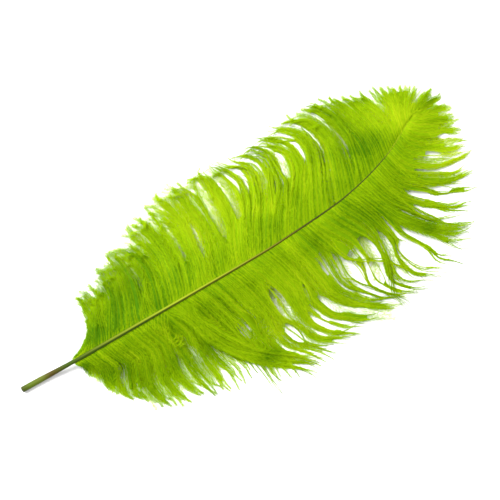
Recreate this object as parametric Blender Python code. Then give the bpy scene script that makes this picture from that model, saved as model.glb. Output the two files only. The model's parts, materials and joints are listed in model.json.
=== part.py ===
"""An ostrich plume that lies on a table, as it grew, in one piece.

A bare quill runs on as a tapering shaft that bends to the left near its tip. A vane of soft locks
grows from both sides of the shaft and round its end. The quill's cut end rests on the table, the
shaft arches clear of it, and the outer half of every lock lies down flat.
"""

import math
import random

import bmesh
import bpy
import numpy as np

MM = 0.001

# Lengths are in millimetres and headings in degrees. "Along" runs from the quill's cut end to the
# tip, "across" is positive on the left of it, and a heading turns left from along.
REST_LENGTH = 12.0        # stretch of the quill that touches the table
HOLLOW_DEPTH = 6.0        # the quill is a cut tube, open this deep
HOLLOW_SHARE = 0.62       # the tube's bore, as a share of its outside
CUT_BEVEL = 0.7
VANE_START = 46.0         # where the lowest barbs leave the quill
SHAFT_END = 371.0

# The shaft seen from above: along, across.
SHAFT_LINE = (
    (0, -1.3), (60, -2.3), (150, -2.3), (215, -2.2), (250, -0.8),
    (285, 1.8), (310, 6.3), (340, 15.5), (357, 24), (SHAFT_END, 32),
)
# The gap under the shaft: along, height.
SHAFT_LIFT = (
    (0, 0), (REST_LENGTH, 0), (48, 5.2), (110, 10.5), (190, 11.5), (270, 8.5), (330, 5.0), (SHAFT_END, 2.8),
)
# The shaft's thickness: along, diameter.
SHAFT_DIAMETER = (
    (0, 4.7), (REST_LENGTH, 4.7), (30, 4.0), (45, 3.4), (100, 3.2), (150, 2.7),
    (200, 2.2), (250, 1.6), (300, 1.2), (340, 0.9), (SHAFT_END, 0.7),
)

# How the barbs of one side run, by where they leave the shaft: along, length of the barb, then its
# heading at the root, at a third, at two thirds and at the tip. Between rows they change evenly.
HEADING_SHARES = (0.0, 0.33, 0.67, 1.0)
LEFT_BARBS = (
    (VANE_START, 22, 16, 24, 45, 70),
    (58, 42, 20, 48, 88, 116),
    (82, 53, 35, 65, 90, 128),
    (118, 71, 48, 72, 95, 140),
    (162, 86, 55, 76, 97, 148),
    (206, 91, 56, 72, 96, 156),
    (250, 90, 54, 62, 92, 155),
    (290, 81, 62, 76, 98, 142),
    (324, 69, 74, 90, 104, 128),
    (348, 51, 84, 98, 106, 112),
    (361, 33, 76, 88, 90, 82),
    (367, 27, 58, 60, 54, 40),
    (SHAFT_END, 28, 32, 26, 20, 12),
)
RIGHT_BARBS = (
    (VANE_START, 20, -40, -70, -88, -84),
    (60, 50, -34, -76, -100, -90),
    (86, 74, -36, -74, -102, -80),
    (124, 85, -42, -74, -90, -64),
    (168, 104, -48, -78, -76, -50),
    (206, 111, -48, -78, -78, -36),
    (236, 112, -46, -74, -74, -32),
    (264, 109, -42, -68, -76, -38),
    (294, 101, -38, -62, -70, -40),
    (322, 86, -32, -50, -50, -18),
    (340, 67, -24, -36, -30, -4),
    (355, 48, -12, -26, -24, -6),
    (366, 32.5, 2, -8, -16, -8),
    (SHAFT_END, 28, 20, 8, -2, -6),
)

LOCKS_PER_SIDE = 34
LOCK_ROWS = 12            # steps from a lock's root to its tip
ROOT_WEIGHT = 0.7         # locks are spaced by their tips, and this much by their roots
LANDED_SHARE = 0.8        # how far out along a barb it comes down on the table
BARB_RISE = 2.6           # barbs arch this far above the shaft before they droop
ROOT_THICKNESS = 1.7
TIP_THICKNESS = 0.8
CROWN_SHARE = 0.30        # a lock's middle stands up from its edges by this share of its width
CROWN_LIMIT = 2.8
SPLIT_RANGE = {1: (0.46, 0.8), -1: (0.38, 0.72)}
TIP_WIDTH = 0.16          # a lock's width at its tip, as a share of the room it has
LENGTH_SPREAD = 0.05
TURN_SPREAD = 7.0
SEED = 11

LEFT, RIGHT = 1, -1
BARBS = {LEFT: LEFT_BARBS, RIGHT: RIGHT_BARBS}

# The shaft is a twelve-sided tube with flats on top and below. The vanes grow from the facets at
# its two sides, and these are the numbers of the points at those facets' corners.
SIDES = 12
HALF_STEP = math.pi / SIDES
ROOT_CORNERS = {LEFT: (5, 6), RIGHT: (0, 11)}
TUBE_STATIONS = (0.0, CUT_BEVEL, REST_LENGTH, 17.0, 22.0, 28.0, 34.0, 40.0)


def smooth(table, at):
    """Read a table of (along, value) rows on a smooth curve that never overshoots them."""
    along, value = np.array(table, dtype=float).T
    step = np.diff(along)
    slope = np.diff(value) / step
    lean = np.concatenate((slope[:1], np.zeros(len(slope) - 1), slope[-1:]))
    for i in range(1, len(slope)):
        if slope[i - 1] * slope[i] > 0:
            lean[i] = 2 * slope[i - 1] * slope[i] / (slope[i - 1] + slope[i])
    i = int(np.clip(np.searchsorted(along, at, side="right") - 1, 0, len(step) - 1))
    t = (at - along[i]) / step[i]
    start = (1 + 2 * t) * (1 - t) ** 2 * value[i] + t * (1 - t) ** 2 * step[i] * lean[i]
    end = t ** 2 * (3 - 2 * t) * value[i + 1] - t ** 2 * (1 - t) * step[i] * lean[i + 1]
    return start + end


def ease(share):
    """Go from 0 to 1 with a level start and a level end."""
    share = min(max(share, 0.0), 1.0)
    return share * share * (3 - 2 * share)


def shaft_centre(along):
    """The middle of the shaft as (along, across, height)."""
    radius = smooth(SHAFT_DIAMETER, along) / 2
    height = smooth(SHAFT_LIFT, along) + radius * math.cos(HALF_STEP)
    return np.array((along, smooth(SHAFT_LINE, along), height))


def shaft_left(along):
    """The level direction square to the shaft, towards its left."""
    reach = 0.5
    ahead = min(along + reach, SHAFT_END)
    behind = max(along - reach, 0.0)
    run = shaft_centre(ahead)[:2] - shaft_centre(behind)[:2]
    run /= np.linalg.norm(run)
    return np.array((-run[1], run[0], 0.0))


def add_point(mesh, point):
    return mesh.verts.new([value * MM for value in point])


def add_ring(mesh, along, share=1.0):
    """One ring of points round the shaft, from the right over the top to the left and back."""
    centre = shaft_centre(along)
    left = shaft_left(along)
    radius = smooth(SHAFT_DIAMETER, along) / 2 * share
    ring = []
    for side in range(SIDES):
        angle = HALF_STEP + side * 2 * HALF_STEP
        level = left * (-math.cos(angle) * radius)
        ring.append(add_point(mesh, centre + level + np.array((0, 0, math.sin(angle) * radius))))
    return ring


def join_rings(mesh, first, second, left_out=()):
    """Walls between two rings, without the facets that are named by their first corner."""
    for i in range(SIDES):
        if i not in left_out:
            j = (i + 1) % SIDES
            mesh.faces.new((first[i], first[j], second[j], second[i]))


def barb_path(side, station, stretch=1.0, turn=0.0):
    """The line of a barb seen from above, as a point for each row of a lock."""
    return follow(barb_guide(side, station), vane_root(side, station), stretch, turn)


def barb_guide(side, station):
    """Length and headings of the barb that leaves one side of the shaft at this station."""
    table = np.array(BARBS[side], dtype=float)
    return np.array([np.interp(station, table[:, 0], column) for column in table.T[1:]])


def vane_root(side, station):
    """Where a barb leaves the skin of the shaft, seen from above."""
    radius = smooth(SHAFT_DIAMETER, station) / 2 * math.cos(HALF_STEP)
    return (shaft_centre(station) + side * radius * shaft_left(station))[:2]


def follow(guide, root, stretch, turn):
    """Walk from the root, turning from heading to heading."""
    shares = np.linspace(0, 1, LOCK_ROWS + 1)
    heading = np.radians(np.interp(shares, HEADING_SHARES, guide[1:]) + turn * shares)
    direction = np.column_stack((np.cos(heading), np.sin(heading)))
    steps = (direction[1:] + direction[:-1]) / 2 * guide[0] * stretch / LOCK_ROWS
    return root + np.vstack((np.zeros((1, 2)), np.cumsum(steps, axis=0)))


def lock_stations():
    """Where the gaps between locks meet the shaft, spaced so that the tips spread evenly."""
    fine = np.linspace(VANE_START, SHAFT_END, 400)
    room = ROOT_WEIGHT * np.diff(fine)
    for side in (LEFT, RIGHT):
        tips = np.array([barb_path(side, station)[-1] for station in fine])
        room = room + np.linalg.norm(np.diff(tips, axis=0), axis=1) / 2
    total = np.concatenate(((0.0,), np.cumsum(room)))
    return np.interp(np.linspace(0, total[-1], LOCKS_PER_SIDE + 1), total, fine)


def underside(station, share):
    """Height of a lock's underside: up beside the shaft, and down on the table further out."""
    shaft = shaft_centre(station)[2]
    out = share / LANDED_SHARE
    arch = shaft * (1 - ease(out)) + BARB_RISE * math.sin(math.pi * min(out, 1.0))
    return max(arch - thickness(share) / 2, 0.0)


def thickness(share):
    return ROOT_THICKNESS + (TIP_THICKNESS - ROOT_THICKNESS) * share


def add_pair(mesh, point, station, row):
    """The upper and the lower point of a lock's edge at one row."""
    share = row / LOCK_ROWS
    low = underside(station, share)
    return (
        add_point(mesh, (point[0], point[1], low + thickness(share))),
        add_point(mesh, (point[0], point[1], low)),
    )


def narrowing(row, split):
    """How much of its room a lock still fills past the row where it parts from its neighbour."""
    return 1 - (1 - TIP_WIDTH) * ease((row - split) / (LOCK_ROWS - split)) ** 0.8


def add_edge(mesh, shared, middle, border, station):
    """One edge of a lock: shared with its neighbour down to the split, and its own past it."""
    edge = list(shared)
    split = len(shared) - 1
    for row in range(split + 1, LOCK_ROWS + 1):
        point = middle[row] + (border[row] - middle[row]) * narrowing(row, split)
        edge.append(add_pair(mesh, point, station, row))
    return edge, split


def add_ridge(mesh, root, middle, near, far, station):
    """The raised line down a lock's middle."""
    ridge = [root]
    for row in range(1, LOCK_ROWS + 1):
        share = row / LOCK_ROWS
        width = (near[row][0].co - far[row][0].co).length / MM
        crown = min(CROWN_SHARE * width, CROWN_LIMIT) * ease(4 * share)
        height = underside(station, share) + thickness(share) + crown
        ridge.append(add_point(mesh, (middle[row][0], middle[row][1], height)))
    return ridge


def skin_lock(mesh, near, far, ridge, lower_root):
    """Close one lock. Each edge comes as its pairs of points and the row where it is free."""
    (near, near_split), (far, far_split) = near, far
    for row in range(LOCK_ROWS):
        mesh.faces.new((near[row][0], ridge[row], ridge[row + 1], near[row + 1][0]))
        mesh.faces.new((ridge[row], far[row][0], far[row + 1][0], ridge[row + 1]))
        lower = [near[row][1], far[row][1], far[row + 1][1], near[row + 1][1]]
        if row == 0:
            lower.insert(1, lower_root)
        mesh.faces.new(lower)
    for edge, split in ((near, near_split), (far, far_split)):
        for row in range(split, LOCK_ROWS):
            mesh.faces.new((edge[row][0], edge[row + 1][0], edge[row + 1][1], edge[row][1]))
    mesh.faces.new((near[-1][0], ridge[-1], far[-1][0], far[-1][1], near[-1][1]))


def root_pair(ring, side):
    """The two corners of a ring that the vane on this side grows from."""
    upper, lower = ROOT_CORNERS[side]
    return ring[upper], ring[lower]


def shared_border(mesh, root, border, station, split):
    """The pairs that two neighbouring locks share, from the shaft down to the split."""
    return [root] + [add_pair(mesh, border[row], station, row) for row in range(1, split + 1)]


def pick_split(side, pick):
    low, high = SPLIT_RANGE[side]
    return round((low + (high - low) * pick.random()) * LOCK_ROWS)


def build_vanes(mesh, rings, stations):
    """All locks of both sides, joined to the shaft's rings and to each other."""
    pick = random.Random(SEED)
    count = LOCKS_PER_SIDE
    middles = (stations[:-1] + stations[1:]) / 2
    ways = {
        side: [(1 + pick.uniform(-1, 1) * LENGTH_SPREAD, pick.uniform(-1, 1) * TURN_SPREAD) for _ in middles]
        for side in (LEFT, RIGHT)
    }
    end_guide = (barb_guide(LEFT, SHAFT_END) + barb_guide(RIGHT, SHAFT_END)) / 2
    end_border = follow(end_guide, shaft_centre(SHAFT_END)[:2], 1.0, 0.0)
    end_split = pick_split(LEFT, pick)
    end_pairs = shared_border(mesh, None, end_border, SHAFT_END, end_split)[1:]

    for side in (LEFT, RIGHT):
        borders = []
        for j, station in enumerate(stations[:-1]):
            around = ways[side][max(j - 1, 0):j + 1]
            stretch, turn = np.mean(around, axis=0)
            split = pick_split(side, pick) if j else 0
            border = barb_path(side, station, stretch, turn)
            root = root_pair(rings[2 * j], side)
            borders.append((border, shared_border(mesh, root, border, station, split)))
        borders.append((end_border, [root_pair(rings[-1], side)] + end_pairs))

        for i in range(count):
            middle = barb_path(side, middles[i], *ways[side][i])
            near = add_edge(mesh, borders[i][1], middle, borders[i][0], middles[i])
            far = add_edge(mesh, borders[i + 1][1], middle, borders[i + 1][0], middles[i])
            upper, lower = root_pair(rings[2 * i + 1], side)
            ridge = add_ridge(mesh, upper, middle, near[0], far[0], middles[i])
            skin_lock(mesh, near, far, ridge, lower)

    left, right = root_pair(rings[-1], LEFT), root_pair(rings[-1], RIGHT)
    for level in (0, 1):
        mesh.faces.new((left[level], right[level], end_pairs[0][level]))


def build_shaft(mesh, stations):
    """The quill and the shaft. Returns the rings that the vanes grow from."""
    bore_end = add_ring(mesh, HOLLOW_DEPTH, HOLLOW_SHARE)
    mesh.faces.new(bore_end)
    last = add_ring(mesh, 0.0, HOLLOW_SHARE)
    join_rings(mesh, bore_end, last)
    for along in TUBE_STATIONS:
        cut_share = 1 - CUT_BEVEL / 5 if along == 0 else 1.0
        ring = add_ring(mesh, along, cut_share)
        join_rings(mesh, last, ring)
        last = ring

    rings = []
    middles = (stations[:-1] + stations[1:]) / 2
    for along in sorted([*stations, *middles]):
        ring = add_ring(mesh, along)
        vane_facets = (ROOT_CORNERS[LEFT][0], ROOT_CORNERS[RIGHT][1]) if rings else ()
        join_rings(mesh, last, ring, vane_facets)
        rings.append(ring)
        last = ring
    left_upper, left_lower = ROOT_CORNERS[LEFT]
    mesh.faces.new(last[:left_upper + 1])
    mesh.faces.new(last[left_lower:])
    return rings


def material(name, colour, roughness):
    """A plain dyed surface. The colour is linear red, green and blue."""
    made = bpy.data.materials.new(name)
    made.use_nodes = True
    shader = made.node_tree.nodes["Principled BSDF"]
    shader.inputs["Base Color"].default_value = (*colour, 1.0)
    shader.inputs["Roughness"].default_value = roughness
    shader.inputs["Metallic"].default_value = 0.0
    return made


def centre_on_table(mesh):
    """Put the origin on the table, under the middle of the feather's box."""
    places = np.array([vert.co[:] for vert in mesh.verts])
    low, high = places.min(axis=0), places.max(axis=0)
    middle = (low + high) / 2
    bmesh.ops.translate(mesh, verts=mesh.verts, vec=(-middle[0], -middle[1], -low[2]))


def build_feather():
    mesh = bmesh.new()
    stations = lock_stations()
    rings = build_shaft(mesh, stations)
    shaft_faces = set(mesh.faces)
    build_vanes(mesh, rings, stations)
    for face in mesh.faces:
        face.material_index = 1 if face in shaft_faces else 0
    bmesh.ops.triangulate(mesh, faces=mesh.faces)
    bmesh.ops.recalc_face_normals(mesh, faces=mesh.faces)
    centre_on_table(mesh)

    data = bpy.data.meshes.new("ostrich_feather")
    mesh.to_mesh(data)
    mesh.free()
    data.shade_smooth()
    data.set_sharp_from_angle(angle=math.radians(50))
    data.materials.append(material("lime dyed barbs", (0.262, 0.485, 0.002), 0.75))
    data.materials.append(material("lime dyed horn", (0.13, 0.20, 0.012), 0.45))
    feather = bpy.data.objects.new("ostrich_feather", data)
    bpy.context.scene.collection.objects.link(feather)


for old in list(bpy.data.objects):
    bpy.data.objects.remove(old, do_unlink=True)
build_feather()
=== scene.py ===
"""Looks of a dyed ostrich plume that lies on a table.

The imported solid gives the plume's place and size. Round it this file models the horn shaft with its
open cut quill, and the vane as several hundred loose barbs, each fringed with soft barbules, that
cling together in strands and locks, part into gaps and cross each other as the real ones do.
"""

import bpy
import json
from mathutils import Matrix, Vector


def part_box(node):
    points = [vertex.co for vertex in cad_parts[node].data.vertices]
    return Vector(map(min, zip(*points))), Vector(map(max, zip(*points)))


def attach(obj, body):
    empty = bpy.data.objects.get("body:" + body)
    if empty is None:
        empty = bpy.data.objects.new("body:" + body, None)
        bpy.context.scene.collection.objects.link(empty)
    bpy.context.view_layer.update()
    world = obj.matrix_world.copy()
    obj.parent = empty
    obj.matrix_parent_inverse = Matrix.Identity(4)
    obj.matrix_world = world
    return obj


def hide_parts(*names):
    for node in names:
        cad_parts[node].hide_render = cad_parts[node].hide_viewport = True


bl_info = {
    "name": "Ostrich plume",
    "version": (1, 0, 0),
    "blender": (4, 5, 0),
    "location": "3D View > Sidebar > Plume",
    "description": "Models the shaft and barbs of a dyed ostrich plume on a table",
    "category": "Object",
}

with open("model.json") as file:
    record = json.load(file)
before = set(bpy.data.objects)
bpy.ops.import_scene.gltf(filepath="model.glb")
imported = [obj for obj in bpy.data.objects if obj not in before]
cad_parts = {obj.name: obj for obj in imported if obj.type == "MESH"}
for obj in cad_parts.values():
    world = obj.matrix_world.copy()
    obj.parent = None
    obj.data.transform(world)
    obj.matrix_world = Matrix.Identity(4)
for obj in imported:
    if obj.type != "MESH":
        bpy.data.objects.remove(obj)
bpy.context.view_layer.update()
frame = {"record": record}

import json
import math

import bpy
import numpy as np
from mathutils import Vector

MM = 0.001
NODE = "ostrich_feather"

# Lengths are in millimetres and headings in degrees. "Along" runs from the quill's cut end to the
# tip, "across" is positive on the left of it, and a heading turns left from along. These lines
# repeat the solid's own, so that the barbs grow where its locks do.
REST_LENGTH = 12.0
HOLLOW_DEPTH = 6.0
HOLLOW_SHARE = 0.62
VANE_START = 46.0
SHAFT_END = 371.0
SHAFT_LINE = (
    (0, -1.3), (60, -2.3), (150, -2.3), (215, -2.2), (250, -0.8),
    (285, 1.8), (310, 6.3), (340, 15.5), (357, 24), (SHAFT_END, 32),
)
SHAFT_LIFT = (
    (0, 0), (REST_LENGTH, 0), (48, 5.2), (110, 10.5), (190, 11.5), (270, 8.5), (330, 5.0), (SHAFT_END, 2.8),
)
SHAFT_DIAMETER = (
    (0, 4.7), (REST_LENGTH, 4.7), (30, 4.0), (45, 3.4), (100, 3.2), (150, 2.7),
    (200, 2.2), (250, 1.6), (300, 1.2), (340, 0.9), (SHAFT_END, 0.7),
)
LEFT, RIGHT = 1, -1
LANDED_SHARE = 0.8
BARB_RISE = 1.2

# Lines down the vane that the barbs follow, from the quill outwards: station on the shaft, then the
# places (along, across) that the line runs through, the last at its tip.
LINES = {
    LEFT: (
        (46, (51, 0), (56, 1.5), (61, 3)),
        (49, (57, 2), (64, 5.5), (69, 11)),
        (52, (61, 4), (69, 11), (73, 25)),
        (57, (67, 8), (76, 20), (75, 39)),
        (66, (74, 12), (81, 24), (80, 41)),
        (73, (81, 13), (88, 26), (88, 41)),
        (81, (89, 14), (96, 28), (95, 46)),
        (91, (99, 16), (104, 32), (102, 52)),
        (103, (110, 17), (114, 34), (111, 56)),
        (115, (121, 15), (123, 32), (119, 50), (115, 60)),
        (126, (131, 15), (133, 32), (129, 50), (125, 61)),
        (137, (142, 16), (144, 34), (141, 54), (137, 66)),
        (147, (152, 17), (154, 36), (151, 56), (147, 70)),
        (155, (161, 18), (164, 38), (161, 58), (156, 75)),
        (163, (170, 20), (174, 40), (172, 58), (167, 75)),
        (173, (180, 20), (183, 38), (182, 56), (178, 75)),
        (180, (187, 20), (190, 38), (189, 56), (185, 75)),
        (187, (195, 20), (199, 38), (199, 58), (193, 77)),
        (194, (202, 20), (207, 38), (208, 58), (203, 79)),
        (199, (207, 16), (214, 32), (219, 48), (219, 62), (213, 78)),
        (205, (213, 15), (221, 30), (229, 44), (230, 60), (219, 77)),
        (212, (220, 14), (229, 27), (239, 42), (241, 60), (229, 75)),
        (222, (230, 13), (240, 26), (250, 42), (252, 56), (246, 68), (235, 74)),
        (235, (243, 13), (254, 27), (264, 42), (264, 58), (258, 68), (246, 76)),
        (246, (254, 13), (264, 27), (273, 43), (273, 58), (266, 68), (252, 77)),
        (257, (265, 15), (274, 29), (281, 44), (280, 58), (273, 69), (260, 76)),
        (267, (275, 17), (283, 32), (289, 48), (286, 62), (279, 71), (268, 78)),
        (280, (287, 18), (294, 34), (298, 50), (296, 63), (289, 72), (279, 79)),
        (294, (300, 20), (305, 36), (306, 52), (302, 66), (291, 79)),
        (306, (311, 22), (314, 36), (313, 52), (308, 67), (300, 80)),
        (317, (321, 24), (322, 38), (319, 52), (315, 66), (307, 79)),
        (327, (330, 27), (330, 40), (326, 54), (322, 66), (316, 77)),
        (336, (338, 30), (337, 42), (333, 56), (328, 73)),
        (344, (346, 33), (344, 45), (341, 57), (338, 68)),
        (351, (353, 36), (352, 46), (350, 57), (348, 66)),
        (357, (360, 38), (361, 47), (360, 55), (359, 64)),
        (361, (365, 39), (368, 46), (370, 53), (371, 58)),
        (365, (370, 39), (375, 45), (379, 49), (382, 51)),
        (368, (374, 38), (380, 42), (386, 45), (390, 46)),
        (370, (377, 36), (384, 38), (390, 40), (396, 41)),
        (371, (378, 34), (385, 35), (392, 35), (399, 35)),
        (371, (378, 31), (385, 30), (392, 29), (400, 28)),
        (371, (377, 29), (384, 26), (391, 24), (400, 22)),
    ),
    RIGHT: (
        (46, (48, -5), (50, -8), (50, -12)),
        (49, (52, -8), (55, -15), (55, -22)),
        (53, (56, -10), (60, -20), (58, -32)),
        (58, (61, -11), (65, -22), (62, -32), (62, -39)),
        (63, (66, -12), (70, -23), (66, -34), (67, -45)),
        (69, (72, -12), (76, -24), (72, -36), (68, -44), (72, -50)),
        (76, (79, -13), (83, -25), (79, -37), (75, -46), (79, -54)),
        (83, (86, -13), (90, -25), (86, -38), (82, -49), (86, -63)),
        (90, (93, -13), (97, -25), (93, -38), (90, -50), (95, -68)),
        (97, (100, -13), (104, -26), (100, -39), (98, -51), (102, -71)),
        (104, (107, -13), (111, -26), (108, -40), (107, -53), (113, -75)),
        (112, (115, -14), (119, -27), (117, -41), (117, -54), (125, -77)),
        (120, (123, -14), (127, -28), (126, -42), (127, -56), (132, -80)),
        (127, (131, -14), (135, -28), (135, -42), (136, -56), (138, -69), (139, -83)),
        (134, (139, -15), (143, -30), (145, -44), (148, -58), (152, -70), (154, -81)),
        (141, (146, -15), (150, -30), (153, -45), (157, -60), (161, -72), (162, -85)),
        (148, (153, -15), (157, -30), (160, -45), (164, -60), (167, -71), (169, -80)),
        (155, (160, -15), (164, -30), (168, -46), (172, -60), (174, -75), (176, -95)),
        (162, (167, -15), (171, -30), (176, -45), (177, -60), (181, -74), (189, -87), (195, -100)),
        (170, (175, -15), (179, -30), (184, -44), (183, -58), (185, -71), (193, -86), (203, -100)),
        (178, (183, -15), (187, -30), (191, -44), (190, -58), (192, -71), (200, -86), (211, -100)),
        (186, (191, -15), (195, -30), (198, -44), (197, -58), (200, -71), (208, -84), (221, -98)),
        (194, (199, -15), (203, -30), (205, -44), (205, -58), (209, -70), (219, -82), (241, -96)),
        (202, (207, -15), (211, -30), (213, -44), (214, -58), (217, -70), (227, -83), (248, -94)),
        (210, (215, -15), (219, -30), (221, -44), (220, -58), (224, -71), (234, -83), (254, -94)),
        (218, (223, -15), (227, -29), (229, -43), (228, -56), (232, -69), (242, -81), (260, -92)),
        (226, (230, -14), (234, -28), (236, -42), (236, -55), (242, -68), (254, -80), (276, -92)),
        (233, (237, -14), (241, -28), (243, -42), (245, -55), (252, -67), (264, -77), (287, -95)),
        (240, (244, -14), (248, -28), (251, -42), (252, -55), (259, -67), (271, -76), (292, -86)),
        (248, (252, -13), (256, -26), (257, -39), (258, -52), (265, -65), (276, -75), (296, -85)),
        (256, (260, -12), (265, -24), (268, -37), (270, -50), (273, -62), (279, -74), (295, -88)),
        (264, (269, -12), (276, -24), (281, -36), (282, -50), (283, -63), (287, -76), (308, -91)),
        (272, (278, -11), (285, -23), (290, -36), (291, -50), (290, -63), (294, -76), (313, -92)),
        (281, (287, -10), (294, -22), (299, -35), (300, -50), (298, -64), (302, -77), (317, -90)),
        (289, (295, -9), (301, -22), (305, -35), (306, -50), (306, -64), (310, -76), (322, -86)),
        (296, (302, -8), (307, -21), (310, -35), (312, -49), (314, -62), (320, -76), (334, -88)),
        (303, (308, -8), (313, -20), (318, -34), (322, -48), (329, -62), (336, -75), (346, -86)),
        (309, (314, -7), (319, -19), (326, -33), (333, -47), (342, -60), (358, -75)),
        (315, (319, -6), (324, -17), (333, -31), (342, -44), (354, -56), (370, -67)),
        (320, (324, -5), (328, -15), (336, -27), (346, -40), (358, -52), (371, -61)),
        (325, (329, -4), (332, -13), (340, -23), (351, -34), (364, -43), (380, -47)),
        (330, (333, -2), (337, -11), (345, -19), (356, -28), (369, -36), (385, -42)),
        (335, (338, 1), (342, -8), (350, -15), (362, -22), (376, -27), (391, -29)),
        (340, (343, 4), (348, -5), (356, -12), (368, -18), (381, -21), (394, -22)),
        (346, (349, 7), (354, 0), (363, -7), (374, -12), (386, -14), (398, -15)),
        (351, (354, 10), (360, 4), (369, -2), (380, -7), (390, -10), (398, -12)),
        (356, (359, 14), (366, 8), (374, 3), (384, -1), (393, -4), (400, -7)),
        (360, (364, 17), (371, 11), (379, 7), (388, 4), (397, 0)),
        (364, (369, 20), (376, 15), (384, 12), (392, 9), (400, 6)),
        (368, (373, 24), (380, 20), (387, 17), (393, 15), (400, 13)),
        (371, (377, 27), (384, 25), (391, 22), (396, 21), (400, 19)),
        (371, (378, 30), (385, 28), (392, 26), (396, 25), (400, 24)),
    ),
}
# How the barbs of each side close up into locks: along, width of a lock, the share of its width that
# its barbs keep once closed, how far the barbules stand off them there, where they start to close, and
# the share by which they open again at their tips.
LOCKS = {
    LEFT: (
        (46, 4.0, 0.9, 1.2, 0.8, 0), (150, 4.5, 0.9, 1.3, 0.8, 0), (185, 5.0, 0.85, 1.2, 0.7, 0.3),
        (205, 5.5, 0.6, 0.8, 0.45, 0.7), (262, 5.5, 0.6, 0.8, 0.5, 0.7), (282, 4.5, 0.93, 1.1, 0.8, 0.1),
        (300, 4.5, 0.95, 1.2, 0.8, 0), (371, 3.5, 0.9, 1.1, 0.75, 0),
    ),
    RIGHT: (
        (46, 4.0, 0.9, 1.2, 0.8, 0), (80, 4.0, 0.75, 1.2, 0.8, 0), (105, 4.2, 0.6, 1.1, 0.76, 0),
        (150, 4.5, 0.5, 1.0, 0.74, 0.1), (185, 6.0, 0.6, 1.0, 0.5, 0.5), (215, 6.0, 0.5, 0.8, 0.4, 0.9),
        (247, 6.0, 0.4, 0.7, 0.35, 0.9), (256, 5.0, 0.3, 0.5, 0.22, 0.9), (310, 5.0, 0.3, 0.5, 0.22, 0.8),
        (330, 5.0, 0.5, 0.7, 0.4, 0.5), (350, 5.0, 0.6, 0.9, 0.6, 0.4), (371, 4.0, 0.8, 1.1, 0.75, 0),
    ),
}
# Stations on the shaft where one lock ends and the next begins. Elsewhere they follow by width.
PARTINGS = {
    LEFT: (153, 172, 186, 198.5, 202.5, 206, 212, 218, 224, 231, 238, 249, 260.5),
    RIGHT: (
        160.5, 170, 181, 192, 202, 212, 218.5, 227.5, 240, 247.5, 256, 264, 272, 281.5, 288.5, 294, 300, 306,
        312, 320, 328, 332, 341, 352,
    ),
}
# Where the vane is parted besides: along, across, heading of the gap, half its length, half its
# width, and the share of barbs that stray across it.
GAPS = (
    (163, 43, 98, 21, 2.2, 0.2),
    (179, 31, 84, 17, 3.2, 0.1),
    (192, 45, 92, 22, 1.8, 0.6),
    (201, 46, 84, 28, 5.2, 0.15),
    (217.5, 48, 87, 20, 3.8, 0.1),
    (225, 59, 100, 9, 2.0, 0.2),
    (233, 51, 70, 7, 1.2, 0.2),
    (232, 62, 90, 5, 2.4, 0.2),
    (265, 49, 70, 11, 3.2, 0.1),
    (283, 52, 84, 9, 1.5, 0.1),
    (278, 68, 130, 9, 1.2, 0.1),
    (315, 66, 125, 9, 1.2, 0.2),
    (173, -47, -75, 9, 2.0, 0.3),
    (182, -42, -78, 9, 2.0, 0.3),
    (209, -43, -85, 17, 3.6, 0.2),
    (206, -68, -72, 11, 4.2, 0.05),
    (229, -73, -64, 12, 1.6, 0.1),
    (231, -44, -98, 9, 1.3, 0.2),
    (241, -63, -68, 12, 1.8, 0.05),
    (253, -36, -90, 8, 1.4, 0.1),
    (264, -40, -93, 14, 1.8, 0.1),
    (275, -35, -62, 13, 2.8, 0.15),
    (273, -52, -80, 12, 4.2, 0.05),
    (290, -40, -80, 14, 2.6, 0.1),
    (287, -60, -84, 11, 3.0, 0.1),
    (303, -46, -90, 16, 1.4, 0.1),
    (319, -62, -62, 16, 5.5, 0.03),
    (345, -23, -36, 10, 2.0, 0.05),
    (363, -30, -40, 7, 1.9, 0.1),
    (369, -1, -33, 8, 2.0, 0.2),
    (385, 6.5, -15, 4.5, 1.8, 0.1),
)
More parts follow.
